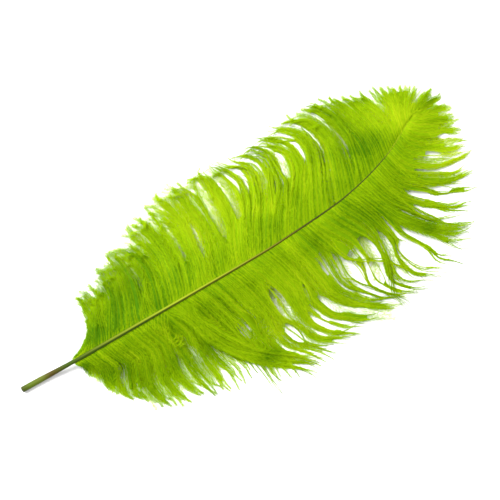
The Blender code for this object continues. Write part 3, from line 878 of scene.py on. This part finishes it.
def barbule_mesh(points, dye, fluff, dense, beside_gaps, pick):
    """Soft fringes on both sides of each barb: narrow leaves of two triangles, bent in the middle."""
    count, rows = points.shape[:2]
    length = np.linalg.norm(np.diff(points, axis=1), axis=-1).sum(axis=1)
    each = np.maximum((length / (settings().barbule_gap / MM) * dense).astype(int), 2)
    barb = np.repeat(np.arange(count), each * 2)
    way = np.concatenate([np.repeat((LEFT, RIGHT), n) for n in each])
    share = np.concatenate([np.tile(np.arange(n) / n, 2) for n in each])
    total = len(barb)
    share = np.minimum(share + pick.random(total) / each[barb], 0.995) ** 1.1

    spot = share * (rows - 1)
    low = np.minimum(spot.astype(int), rows - 2)
    part = (spot - low)[:, None]
    base, ahead, out, up = (
        field[barb, low] * (1 - part) + field[barb, low + 1] * part for field in (points, *frames(points))
    )

    size = settings().barbule_length / MM * (0.75 + 0.25 * ease(share, 0, 0.15))
    size = size * (1 - 0.45 * ease(share, 0.65, 0.3))
    size = size * (1 - (0.85 - 0.7 * ease(fluff[barb], 0.9, 0.3)) * ease(share, 0.82, 0.17))
    size = size * pick.uniform(*BARBULE_SIZES, total)
    for gap in GAPS:
        size = np.where(gap_share(base[:, :2], gap, GAP_MARGIN) < 1, size * beside_gaps, size)
    loose = 1 + (fluff[barb] - 1) * ease(share, 0.15, 0.35)
    size = size * (0.45 + 0.55 * loose)
    before, after = size * BARBULE_PARTS[0], size * BARBULE_PARTS[1]

    open_angle = np.radians(pick.normal(*BARBULE_OPEN, total) + 14 * (1 - ease(share, 0, 0.2))) * way * loose
    cling_angle = np.radians(pick.normal(*BARBULE_CLING, total)) * way * loose
    tilt = pick.normal(*BARBULE_TILT, total)
    first = ahead * np.cos(open_angle)[:, None] + out * np.sin(open_angle)[:, None] + up * tilt[:, None]
    second = ahead * np.cos(cling_angle)[:, None] + out * np.sin(cling_angle)[:, None]
    second = second + up * (tilt * 0.5 - 0.06)[:, None]
    middle = base + first * before[:, None]
    tip = middle + second * after[:, None]
    roll = pick.normal(0, 0.5, total)[:, None]
    flat = unit(np.cross(first, up)) * np.cos(roll) + up * np.sin(roll)
    half = settings().barbule_width / MM / 2 * pick.uniform(0.7, 1.2, total)[:, None]
    verts = np.stack((base, middle + flat * half, tip, middle - flat * half), axis=1)
    verts[..., 2] = np.maximum(verts[..., 2], TABLE_CLEAR["barbule"])
    number = np.arange(total * 4).reshape(total, 4)
    tris = np.concatenate((number[:, [0, 1, 3]], number[:, [1, 2, 3]]))

    start = share * 0.97
    bend = np.minimum(start + before / length[barb], 0.99)
    end = np.minimum(bend + after / length[barb], 1.0)
    lower, upper = barb + FRINGE_STRIP[0], barb + FRINGE_STRIP[1]
    middle_v = (lower + upper) / 2
    inner = np.array(((start, middle_v), (bend, upper), (bend, lower)))
    outer = np.array(((bend, upper), (end, middle_v), (bend, lower)))
    places = np.concatenate((inner, outer), axis=-1).transpose(2, 0, 1)

    shade = dye[barb] - 0.13 * (1 - ease(share, 0, 0.4)) + pick.normal(0, 0.05, total)
    shade = np.repeat(shade, 4).reshape(total, 4)
    # Painted shade: near the shaft each barbule is lighter at its base and darker at its tip, where it hangs
    # into the shadowed valley between barbs. Further out, base and tip are a little lighter.
    near_shaft = 1 - ease(share, 0.2, 0.4)
    shade += np.outer(near_shaft, (0.06, -0.03, -0.1, -0.03)) + np.outer(1 - near_shaft, (0.04, 0, 0.04, 0))
    verts = verts.reshape(-1, 3)
    quads = np.zeros((0, 4), dtype=int)
    return verts, quads, np.zeros((0, 4, 2)), tris, places, dye_and_shade_at(verts, shade.ravel())


def joined_mesh(name, parts, rows):
    """One mesh object from several sets of quads and triangles, with its map and its dye value, which also
    carries painted shade and highlight.
    """
    verts, quads, quad_places, tris, tri_places, shades = zip(*parts)
    offsets = np.cumsum([0] + [len(each) for each in verts])
    quads = np.concatenate([each + start for each, start in zip(quads, offsets)])
    tris = np.concatenate([each + start for each, start in zip(tris, offsets)])
    places = np.concatenate([each.reshape(-1, 2) for each in (*quad_places, *tri_places)])
    places = places * (1.0, 1.0 / rows)

    mesh = bpy.data.meshes.new(name)
    mesh.vertices.add(offsets[-1])
    mesh.vertices.foreach_set("co", in_frame(np.concatenate(verts)).ravel())
    corners = np.concatenate((quads.ravel(), tris.ravel()))
    starts = np.concatenate((np.arange(len(quads)) * 4, len(quads) * 4 + np.arange(len(tris)) * 3))
    mesh.loops.add(len(corners))
    mesh.loops.foreach_set("vertex_index", corners.astype(np.int32))
    mesh.polygons.add(len(starts))
    mesh.polygons.foreach_set("loop_start", starts.astype(np.int32))
    mesh.uv_layers.new(name=MAP).data.foreach_set("uv", places.ravel())
    mesh.attributes.new("dye", "FLOAT", "POINT").data.foreach_set("value", np.concatenate(shades))
    mesh.update(calc_edges=True)
    mesh.validate()
    mesh.shade_smooth()
    piece = bpy.data.objects.new(name, mesh)
    bpy.context.scene.collection.objects.link(piece)
    return piece


def add_node(tree, kind, choices=None, inputs=None):
    """Add a node with its choices, and its inputs as values or links."""
    node = tree.nodes.new(kind)
    for name, value in (choices or {}).items():
        setattr(node, name, value)
    for name, value in (inputs or {}).items():
        if isinstance(value, bpy.types.NodeSocket):
            tree.links.new(value, node.inputs[name])
        else:
            node.inputs[name].default_value = value
    return node


def new_material(name):
    material = bpy.data.materials.new(name)
    material.use_nodes = True
    material.node_tree.nodes.clear()
    return material, material.node_tree


def greys(*stops):
    return [(place, (level, level, level, 1)) for place, level in stops]


def ramp(tree, factor, stops):
    """A colour ramp with its first and last stop and any between them."""
    node = add_node(tree, "ShaderNodeValToRGB", inputs={"Fac": factor})
    for place, tint in stops[1:-1]:
        node.color_ramp.elements.new(place)
    for element, (place, tint) in zip(node.color_ramp.elements, stops):
        element.position = place
        element.color = tint
    return node


def barb_material():
    """Dyed keratin barbs: thin, matt and slightly see-through, so that they glow where they are few."""
    made, tree = new_material("lime dyed ostrich barbs")
    s = settings()
    dye = add_node(tree, "ShaderNodeAttribute", {"attribute_name": "dye"})
    place = add_node(tree, "ShaderNodeTexCoord")
    patches = add_node(tree, "ShaderNodeTexNoise", inputs={
        "Vector": place.outputs["Object"], "Scale": 1 / (DYE_PATCH * MM), "Detail": 2.0, "Roughness": 0.5,
    })
    shift = add_node(tree, "ShaderNodeMath", {"operation": "MULTIPLY_ADD"}, {
        0: patches.outputs["Fac"], 1: 0.4, 2: dye.outputs["Fac"],
    })
    centred = add_node(tree, "ShaderNodeMath", {"operation": "SUBTRACT"}, {0: shift.outputs[0], 1: 0.2})
    # The dye value, with its painted shade and highlight, picks deep, lime or pale green.
    tint = ramp(tree, centred.outputs[0], (
        (0.08, tuple(s.shadow_green)), (0.5, tuple(s.leaf_green)), (0.95, tuple(s.pale_dye_and_highlight_green)),
    ))
    front = add_node(tree, "ShaderNodeBsdfPrincipled", inputs={
        "Base Color": tint.outputs["Color"], "Roughness": 0.65, "IOR": 1.55, "Specular IOR Level": 0.05,
    })
    through = add_node(tree, "ShaderNodeBsdfTranslucent", inputs={"Color": tint.outputs["Color"]})
    both = add_node(tree, "ShaderNodeMixShader", inputs={
        0: 0.4, 1: front.outputs["BSDF"], 2: through.outputs["BSDF"],
    })
    add_node(tree, "ShaderNodeOutputMaterial", inputs={"Surface": both.outputs["Shader"]})
    return made


def horn_material():
    """The quill's horn: smooth keratin with a satin gloss, unevenly dyed over brown, with a pale band along
    its top that is painted brighter on the lit side as a highlight.
    """
    made, tree = new_material("dyed horn of the shaft")
    s = settings()
    uv = add_node(tree, "ShaderNodeUVMap", {"uv_map": MAP})
    split = add_node(tree, "ShaderNodeSeparateXYZ", inputs={"Vector": uv.outputs["UV"]})
    along = ramp(tree, split.outputs["X"], (
        (0.0, linear("#3f4710")), (0.02, tuple(s.horn_green)), (0.05, linear("#5e681c")),
        (0.07, tuple(s.horn_brown)), (0.11, linear("#3c5204")), (0.3, linear("#3c5204")),
        (0.4, linear("#545c04")), (0.6, linear("#5a5406")), (0.72, linear("#3c4402")),
        (0.9, linear("#445002")), (0.94, linear("#8ca000")), (1.0, linear("#a8c400")),
    ))
    # Painted highlight: the band just left of the shaft's top, which faces the key light, takes the pale
    # colour, at half strength further round.
    ridge = ramp(tree, split.outputs["Y"], greys((0.0, 0), (0.19, 0), (0.24, 1), (0.33, 1), (0.38, 0.5)))
    bare = ramp(tree, split.outputs["X"], greys(
        (0.0, 0), (0.13, 0), (0.22, 0.45), (0.38, 1), (0.5, 0.8), (0.68, 0),
    ))
    share = add_node(tree, "ShaderNodeMath", {"operation": "MULTIPLY"}, {
        0: ridge.outputs["Color"], 1: bare.outputs["Color"],
    })
    tint = add_node(tree, "ShaderNodeMix", {"data_type": "RGBA"}, {
        0: share.outputs[0], 6: along.outputs["Color"], 7: tuple(s.horn_pale_ridge_and_highlight),
    })
    place = add_node(tree, "ShaderNodeTexCoord")
    stretch = add_node(tree, "ShaderNodeMapping", inputs={
        "Vector": place.outputs["Object"], "Scale": [1 / (size * MM) for size in HORN_STREAK],
    })
    streaks = add_node(tree, "ShaderNodeTexNoise", inputs={
        "Vector": stretch.outputs["Vector"], "Scale": 1.0, "Detail": 3.0,
    })
    worn = add_node(tree, "ShaderNodeMix", {"data_type": "RGBA", "blend_type": "MULTIPLY"}, {
        0: 0.35, 6: tint.outputs[2], 7: streaks.outputs["Color"],
    })
    bump = add_node(tree, "ShaderNodeBump", inputs={
        "Strength": 0.25, "Distance": 0.1 * MM, "Height": streaks.outputs["Fac"],
    })
    shader = add_node(tree, "ShaderNodeBsdfPrincipled", inputs={
        "Base Color": worn.outputs[2], "Roughness": 0.55, "IOR": 1.55, "Specular IOR Level": 0.12,
        "Normal": bump.outputs["Normal"],
    })
    add_node(tree, "ShaderNodeOutputMaterial", inputs={"Surface": shader.outputs["BSDF"]})
    return made


def finish_piece(piece, material):
    piece.data.materials.clear()
    piece.data.materials.append(material)
    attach(piece, "root")
    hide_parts(NODE)


class PLUME_OT_stage(bpy.types.Operator):
    """Add the pale table, the soft studio light and the camera above"""

    bl_idname = "plume.stage"
    bl_label = "Table, light and camera"

    def execute(self, context):
        bpy.ops.object.select_all(action="DESELECT")
        bpy.ops.mesh.primitive_plane_add(size=TABLE_SIZE, location=(0, 0, 0))
        table = context.object
        table.name = "table"
        # Uncoated card: chalky white without a gloss, so that it only shows the plume's soft shadow.
        made, tree = new_material("matt white card")
        shader = add_node(tree, "ShaderNodeBsdfPrincipled", inputs={
            "Base Color": linear("#f4f3f4"), "Roughness": 0.9, "Specular IOR Level": 0.1,
        })
        add_node(tree, "ShaderNodeOutputMaterial", inputs={"Surface": shader.outputs["BSDF"]})
        table.data.materials.append(made)

        world = bpy.data.worlds.new("soft studio")
        world.use_nodes = True
        sky = world.node_tree.nodes["Background"].inputs
        sky["Color"].default_value = (1, 1, 1, 1)
        sky["Strength"].default_value = SKY_STRENGTH
        context.scene.world = world
        add_softbox("key softbox", KEY_PLACE, KEY_SIZE, KEY_POWER)
        place_camera(context)
        context.scene.view_settings.view_transform = "Standard"
        return {"FINISHED"}


def add_softbox(name, place, size, power):
    """A square lamp that faces the plume's middle."""
    bpy.ops.object.light_add(type="AREA", location=place)
    lamp = bpy.context.object
    lamp.name = name
    lamp.data.size = size
    lamp.data.energy = power
    lamp.rotation_euler = (Vector((0, 0, 0)) - Vector(place)).to_track_quat("-Z", "Y").to_euler()


def place_camera(context):
    """Look straight down, turned so that the shaft rises to the right as in the picture."""
    rise = math.radians(SHAFT_RISE)
    right = PICTURE / 2 - QUILL_END[0]
    down = PICTURE / 2 - QUILL_END[1]
    along = (right * math.cos(rise) - down * math.sin(rise)) * MM_PER_POINT
    across = (-right * math.sin(rise) - down * math.cos(rise)) * MM_PER_POINT
    target = in_frame((along, across, 0))
    distance = PICTURE * MM_PER_POINT * MM * LENS / SENSOR
    bpy.ops.object.camera_add(location=(target[0], target[1], distance), rotation=(0, 0, -rise))
    camera = context.object
    camera.data.lens = LENS
    camera.data.sensor_width = SENSOR
    context.scene.camera = camera


class PLUME_OT_shaft(bpy.types.Operator):
    """Model the horn shaft, from the open cut quill to its thread-thin end"""

    bl_idname = "plume.shaft"
    bl_label = "Quill and shaft"

    def execute(self, context):
        piece = model_shaft()
        finish_piece(piece, horn_material())
        return {"FINISHED"}


def model_shaft():
    """Draw a ring of points out along the shaft's line, then turn the cut end in to make the bore."""
    stations = np.array(SHAFT_RINGS)
    centres = in_frame(np.stack((stations, smooth(SHAFT_LINE, stations), shaft_height(stations)), axis=-1))
    radii = shaft_radius(stations) * MM
    radii[0] *= CUT_SHARE
    left = shaft_left(stations)
    turns = np.arctan2(-left[:, 0], left[:, 1])

    bpy.ops.object.select_all(action="DESELECT")
    bpy.ops.mesh.primitive_circle_add(
        vertices=SHAFT_CORNERS, radius=radii[0], location=centres[0], rotation=(0, math.pi / 2, turns[0]),
        enter_editmode=True,
    )
    piece = bpy.context.object
    piece.name = "shaft"
    bpy.ops.mesh.select_all(action="SELECT")
    for i in range(1, len(stations)):
        step = Vector(centres[i] - centres[i - 1])
        bpy.ops.mesh.extrude_edges_move(TRANSFORM_OT_translate={"value": step, "orient_type": "GLOBAL"})
        size = radii[i] / radii[i - 1]
        bpy.ops.transform.resize(value=(size, size, size), center_override=Vector(centres[i]))
        bpy.ops.transform.rotate(
            value=turns[i - 1] - turns[i], orient_axis="Z", orient_type="GLOBAL",
            center_override=Vector(centres[i]),
        )
    bpy.ops.mesh.edge_face_add()
    bpy.ops.object.mode_set(mode="OBJECT")
    bpy.ops.object.transform_apply(location=True, rotation=True, scale=True)
    turn_cut_in(piece, centres[0])
    piece.data.shade_smooth()
    map_shaft(piece)
    return piece


def turn_cut_in(piece, centre):
    """From the cut edge, a flat rim and a bore into the quill."""
    mesh = piece.data
    low = min(v.co.x for v in mesh.vertices)
    for edge in mesh.edges:
        edge.select = all(mesh.vertices[i].co.x < low + 0.2 * MM for i in edge.vertices)
    bpy.ops.object.mode_set(mode="EDIT")
    bpy.ops.mesh.select_mode(type="EDGE")
    bpy.ops.mesh.extrude_edges_move()
    size = HOLLOW_SHARE / CUT_SHARE
    bpy.ops.transform.resize(value=(size, size, size), center_override=Vector(centre))
    for depth in (BORE_EDGE, HOLLOW_DEPTH - BORE_EDGE):
        bpy.ops.mesh.extrude_edges_move(TRANSFORM_OT_translate={"value": (depth * MM, 0, 0)})
    bpy.ops.mesh.edge_face_add()
    bpy.ops.mesh.select_all(action="SELECT")
    bpy.ops.mesh.normals_make_consistent(inside=False)
    bpy.ops.object.mode_set(mode="OBJECT")


def map_shaft(piece):
    """A map with the way along the shaft on one axis and the way round it on the other."""
    mesh = piece.data
    places = np.empty(len(mesh.vertices) * 3)
    mesh.vertices.foreach_get("co", places)
    places = places.reshape(-1, 3) / MM - SHIFT
    along = np.clip(places[:, 0], 0, SHAFT_END)
    centre = np.stack((along, smooth(SHAFT_LINE, along)), axis=-1)
    level = ((places[:, :2] - centre) * shaft_left(along)).sum(axis=-1)
    rise = places[:, 2] - shaft_height(along)
    round_share = np.arctan2(rise, -level) / (2 * math.pi) % 1
    layer = mesh.uv_layers.get(MAP) or mesh.uv_layers.new(name=MAP)
    for face in mesh.polygons:
        shares = [round_share[mesh.loops[i].vertex_index] for i in face.loop_indices]
        crossing = max(shares) - min(shares) > 0.5
        for i, share in zip(face.loop_indices, shares):
            past_seam = share + 1 if crossing and share < 0.5 else share
            layer.data[i].uv = (along[mesh.loops[i].vertex_index] / SHAFT_END, past_seam / MAP_ROUND)
    for other in [other for other in mesh.uv_layers if other.name != MAP]:
        mesh.uv_layers.remove(other)


def model_side(side, material):
    """One side's barbs as four pieces, each with its felt and its fringes."""
    count = int((SHAFT_END - VANE_START) / (settings().barb_gap / MM) * MORE_AT_END)
    pick, fringe_pick = np.random.default_rng((SEED, 1)), np.random.default_rng((SEED, 2))
    plan, stations, strands, lock, offset, rise, fluff = plan_side(side, count, pick)
    points, dye, stray = dress(plan, stations, strands, side, offset, rise, pick)
    fluff = np.where(stray, STRAY_FLUFF, fluff)
    dense = np.where(stray, STRAY_DENSE, 1.0)
    beside_gaps = HABITS[side]["gap_fringe"]
    for own, quarter in zip(np.array_split(np.arange(count), len(QUARTERS)), QUARTERS):
        matted = np.arange(own[0], min(own[-1] + 2, count))
        matted = matted[~stray[matted]]
        parts = (
            barb_mesh(points[own], dye[own]),
            felt_mesh(points[matted], dye[matted], lock[matted], fluff[matted], matted),
            barbule_mesh(points[own], dye[own], fluff[own], dense[own], beside_gaps, fringe_pick),
        )
        piece = joined_mesh(f"{SIDE_NAMES[side]}_{quarter}_barbs", parts, len(own))
        finish_piece(piece, material)


def model_crossings(material):
    """The barbs that lie across the others, and the thin haze of them in the gaps, as one piece."""
    grown = []
    for number, crossing in enumerate(CROSSINGS):
        pick = np.random.default_rng((SEED, 3, number))
        plan, stations = plan_crossing(crossing, pick)
        strands = strand_groups(len(plan), pick)
        flat = np.zeros(len(plan))
        lift, fluff, dense = crossing[6:9]
        haze = lift < 0
        points, dye, stray = dress(
            plan, stations, strands, crossing[0], flat, flat + lift, pick, parted=not haze,
        )
        # Painted light: the haze barbs are made lighter, to lift the shade in the deep gaps where they lie.
        grown.append((points, dye + HAZE_PAINTED_LIGHT * haze, stray, flat + fluff, flat + dense))
    points, dye, stray, fluff, dense = (np.concatenate(each) for each in zip(*grown))
    fluff = np.where(stray, STRAY_FLUFF, fluff)
    # The fringes of all rows are drawn by chance together, after the last row's own draws.
    parts = (barb_mesh(points, dye), barbule_mesh(points, dye, fluff, dense, 1.0, pick))
    finish_piece(joined_mesh("crossing_barbs", parts, len(points)), material)


class PLUME_OT_vane(bpy.types.Operator):
    """Model the barbs of both sides of the vane, fringed with barbules"""

    bl_idname = "plume.vane"
    bl_label = "Barbs of the vane"

    def execute(self, context):
        material = barb_material()
        for side in (LEFT, RIGHT):
            model_side(side, material)
        model_crossings(material)
        return {"FINISHED"}


class PLUME_PT_panel(bpy.types.Panel):
    """Shows the plume's settings and the buttons that add its table, light, camera, shaft and barbs"""

    bl_idname = "PLUME_PT_panel"
    bl_label = "Ostrich plume"
    bl_space_type = "VIEW_3D"
    bl_region_type = "UI"
    bl_category = "Plume"

    def draw(self, context):
        for name in PlumeSettings.__annotations__:
            self.layout.prop(context.scene.plume, name)
        for operator in (PLUME_OT_stage, PLUME_OT_shaft, PLUME_OT_vane):
            self.layout.operator(operator.bl_idname)


CLASSES = (PlumeSettings, PLUME_OT_stage, PLUME_OT_shaft, PLUME_OT_vane, PLUME_PT_panel)


def register():
    for each in CLASSES:
        bpy.utils.register_class(each)
    bpy.types.Scene.plume = bpy.props.PointerProperty(type=PlumeSettings)


def unregister():
    del bpy.types.Scene.plume
    for each in reversed(CLASSES):
        bpy.utils.unregister_class(each)


def main():
    register()
    bpy.ops.plume.stage()
    bpy.ops.plume.shaft()
    bpy.ops.plume.vane()


if __name__ == "__main__":
    main()
